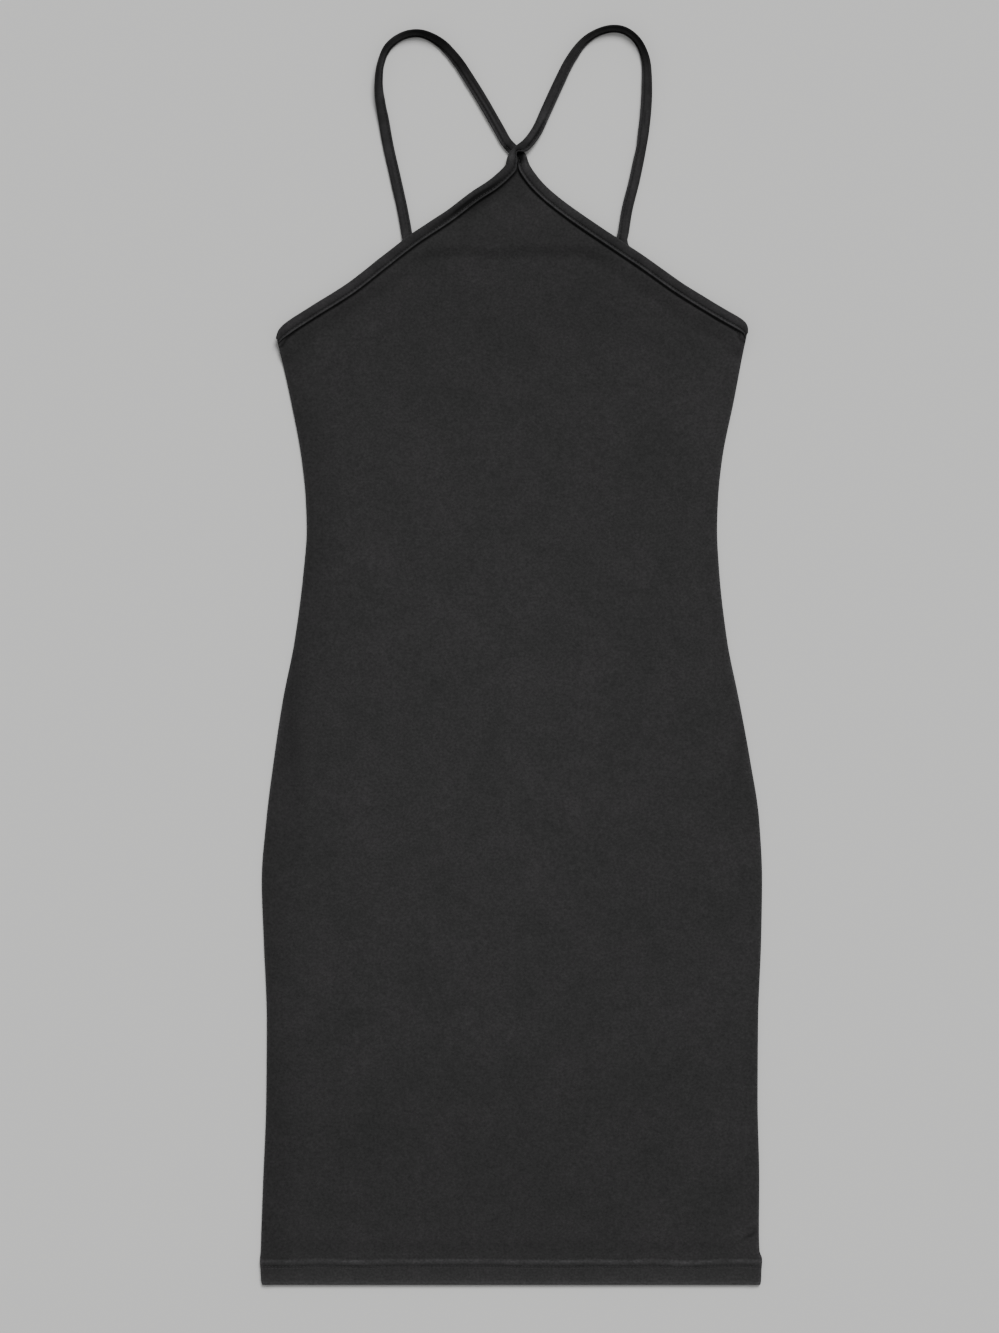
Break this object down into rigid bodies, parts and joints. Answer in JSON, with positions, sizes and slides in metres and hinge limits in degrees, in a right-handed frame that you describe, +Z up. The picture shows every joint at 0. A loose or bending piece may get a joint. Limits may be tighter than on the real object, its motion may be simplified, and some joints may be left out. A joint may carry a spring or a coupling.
{
  "type": "bodycon dress",
  "caption": "Sleeveless stretch dress lying flat, fitted waist, edges bound with strips that cross at the throat and run on as straps.",
  "frame": {"origin": "middle of the dress's footprint, on the surface it lies on", "axes": "+X to the right of the front as seen from above, +Y from the hem to the straps, +Z up from the surface"},
  "size_m": [0.4298, 1.0772, 0.0093],
  "materials": {
    "jersey": "matt dark charcoal stretch jersey, fine knit with a faint mottling",
    "binding": "the same jersey folded into a narrow strip, with one row of stitches"
  },
  "bodies": {
    "root": {"front_panel": "jersey", "back_panel": "jersey", "strip_over": "binding", "strip_under": "binding", "back_top_binding": "binding"}
  },
  "joints": []
}
